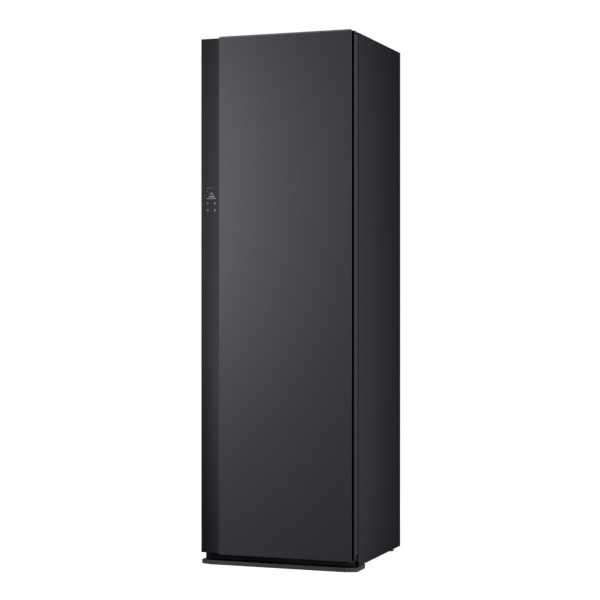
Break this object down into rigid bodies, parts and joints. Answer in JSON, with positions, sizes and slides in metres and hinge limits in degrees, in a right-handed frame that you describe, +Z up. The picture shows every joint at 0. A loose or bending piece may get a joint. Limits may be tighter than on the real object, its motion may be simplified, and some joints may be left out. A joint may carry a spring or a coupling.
{
  "type": "clothes care steam cabinet",
  "caption": "Tall free-standing clothes care steam cabinet with a dark glass door, side control strip, inner chamber with moving hanger bar, and water tanks.",
  "frame": {"origin": "on the floor under the middle of the cabinet's box", "axes": "+Z up, the door faces -Y and hangs on its right edge at +X"},
  "size_m": [0.61, 0.62, 1.96],
  "materials": {
    "tinted_glass": "dark back-painted glass, satin reflection",
    "strip_glass": "darker back-painted glass",
    "carrier_black": "matt black moulding",
    "door_grey": "dark grey satin moulding",
    "display": "white lit marks on a dark block",
    "liner_white": "light grey satin liner",
    "gasket": "soft black magnetic gasket",
    "press_board": "grey moulding",
    "hinge_steel": "zinc-plated steel",
    "side_paint": "dark grey satin powder coat",
    "front_paint": "dark grey satin powder coat, seen in the door gap",
    "back_paint": "dark grey powder coat",
    "pan_steel": "black coated steel",
    "plinth_black": "matt black moulding",
    "ledge_charcoal": "charcoal moulding",
    "foot_plastic": "grey hard plastic",
    "inner_wall": "light grey satin moulding",
    "bay_grey": "mid grey moulding",
    "shelf_steel": "bright plated wire",
    "supply_blue": "translucent blue-grey plastic",
    "drain_grey": "translucent smoke plastic",
    "lid_grey": "grey moulding",
    "fin_aluminium": "mill finish fins",
    "fan_plastic": "black moulding",
    "motor_steel": "plated steel can",
    "filter_mesh": "filter frame and mesh",
    "aroma_plastic": "slotted holder",
    "boiler_aluminium": "cast aluminium",
    "hose_silicone": "silicone hose",
    "compressor_black": "black painted can",
    "pump_plastic": "grey moulding",
    "board_case": "grey flame-proof plastic",
    "bracket_steel": "plated sheet steel",
    "rod_chrome": "polished rod",
    "shuttle_plastic": "black glass-filled moulding",
    "bar_steel": "satin steel bar",
    "pulley_plastic": "natural acetal",
    "belt_rubber": "reinforced rubber",
    "hanger_plastic": "dark grey moulding"
  },
  "bodies": {
    "cabinet": {"upper_hinge_bracket": "hinge_steel", "lower_hinge_bracket": "hinge_steel", "left_side_panel": "side_paint", "right_side_panel": "side_paint", "top_panel": "side_paint", "back_panel": "back_paint", "base_pan": "pan_steel", "front_frame": "front_paint", "kick_plinth": "plinth_black", "base_ledge": "ledge_charcoal", "left_inner_wall": "inner_wall", "right_inner_wall": "inner_wall", "rear_inner_wall": "inner_wall", "chamber_ceiling": "inner_wall", "chamber_floor": "bay_grey", "tank_bay": "bay_grey", "air_duct": "bay_grey", "evaporator": "fin_aluminium", "condenser": "fin_aluminium", "fan_housing": "fan_plastic", "fan_motor": "motor_steel", "steam_generator": "boiler_aluminium", "steam_hose": "hose_silicone", "steam_nozzle": "lid_grey", "compressor": "compressor_black", "feed_pump": "pump_plastic", "main_board_case": "board_case", "power_inlet": "carrier_black", "drive_bracket": "bracket_steel", "guide_rods": "rod_chrome", "drive_belt": "belt_rubber", "hanger_motor": "motor_steel"},
    "door": {"door_glass": "tinted_glass", "glass_carrier": "carrier_black", "control_strip": "strip_glass", "display_module": "display", "door_frame": "door_grey", "door_liner": "liner_white", "door_gasket": "gasket", "press_base": "press_board"},
    "press_plate": {"press_plate": "press_board"},
    "press_latch": {"press_latch": "lid_grey"},
    "hanger_carriage": {"hanger_shuttle": "shuttle_plastic", "hanger_bar": "bar_steel"},
    "eccentric": {"eccentric_pulley": "pulley_plastic"},
    "drive_pulley": {"motor_pulley": "pulley_plastic"},
    "hanger_left": {"hanger_left": "hanger_plastic"},
    "hanger_right": {"hanger_right": "hanger_plastic"},
    "shelf": {"shelf": "shelf_steel"},
    "lint_filter": {"lint_filter": "filter_mesh"},
    "aroma_cartridge": {"aroma_cartridge": "aroma_plastic"},
    "supply_tank": {"supply_tank": "supply_blue", "supply_tank_lid": "lid_grey"},
    "drain_tank": {"drain_tank": "drain_grey", "drain_tank_lid": "lid_grey"},
    "fan": {"fan_rotor": "fan_plastic"},
    "foot_front_left": {"foot_front_left": "foot_plastic"},
    "foot_front_right": {"foot_front_right": "foot_plastic"},
    "foot_rear_left": {"foot_rear_left": "foot_plastic"},
    "foot_rear_right": {"foot_rear_right": "foot_plastic"}
  },
  "joints": [
    {"name": "door_hinge", "type": "hinge", "parent": "cabinet", "child": "door", "pos_m": [0.28, -0.256, 1], "axis": [0, 0, 1], "range_deg": [0, 110]},
    {"name": "press_plate_hinge", "type": "hinge", "parent": "door", "child": "press_plate", "pos_m": [0.172, -0.212, 1.105], "axis": [0, 0, -1], "range_deg": [0, 95]},
    {"name": "press_latch_turn", "type": "hinge", "parent": "door", "child": "press_latch", "pos_m": [-0.175, -0.2044, 1.105], "axis": [0, 1, 0], "range_deg": [0, 90]},
    {"name": "hanger_slide", "type": "slide", "parent": "cabinet", "child": "hanger_carriage", "axis": [1, 0, 0], "range_m": [-0.012, 0.012]},
    {"name": "eccentric_turn", "type": "hinge", "parent": "cabinet", "child": "eccentric", "pos_m": [0, 0.022, 1.855], "axis": [0, 0, -1], "range_deg": [-28.8, 28.8]},
    {"name": "motor_turn", "type": "hinge", "parent": "cabinet", "child": "drive_pulley", "pos_m": [-0.175, 0.022, 1.855], "axis": [0, 0, -1], "range_deg": [-82.5, 82.5]},
    {"name": "hanger_left_swing", "type": "hinge", "parent": "hanger_carriage", "child": "hanger_left", "pos_m": [-0.042, 0.022, 1.73], "axis": [1, 0, 0], "range_deg": [-12, 12]},
    {"name": "hanger_right_swing", "type": "hinge", "parent": "hanger_carriage", "child": "hanger_right", "pos_m": [0.042, 0.022, 1.73], "axis": [1, 0, 0], "range_deg": [-12, 12]},
    {"name": "shelf_lift", "type": "slide", "parent": "cabinet", "child": "shelf", "axis": [0, 0, 1], "range_m": [0, 0.025]},
    {"name": "lint_filter_lift", "type": "slide", "parent": "cabinet", "child": "lint_filter", "axis": [0, 0, 1], "range_m": [0, 0.15]},
    {"name": "aroma_lift", "type": "slide", "parent": "cabinet", "child": "aroma_cartridge", "axis": [0, 0, 1], "range_m": [0, 0.06]},
    {"name": "supply_tank_pull", "type": "slide", "parent": "cabinet", "child": "supply_tank", "axis": [0, -1, 0], "range_m": [0, 0.045]},
    {"name": "drain_tank_pull", "type": "slide", "parent": "cabinet", "child": "drain_tank", "axis": [0, -1, 0], "range_m": [0, 0.045]},
    {"name": "fan_spin", "type": "hinge", "parent": "cabinet", "child": "fan", "pos_m": [0, 0.15, 0.45], "axis": [0, 0, 1], "continuous": true},
    {"name": "level_front_left", "type": "slide", "parent": "cabinet", "child": "foot_front_left", "axis": [0, 0, -1], "range_m": [0, 0.012]},
    {"name": "level_front_right", "type": "slide", "parent": "cabinet", "child": "foot_front_right", "axis": [0, 0, -1], "range_m": [0, 0.012]},
    {"name": "level_rear_left", "type": "slide", "parent": "cabinet", "child": "foot_rear_left", "axis": [0, 0, -1], "range_m": [0, 0.012]},
    {"name": "level_rear_right", "type": "slide", "parent": "cabinet", "child": "foot_rear_right", "axis": [0, 0, -1], "range_m": [0, 0.012]}
  ],
  "couplings": [
    {"joint": "eccentric_turn", "follows": "hanger_slide", "rad_per_m": 41.721},
    {"joint": "motor_turn", "follows": "hanger_slide", "rad_per_m": 119.2}
  ]
}
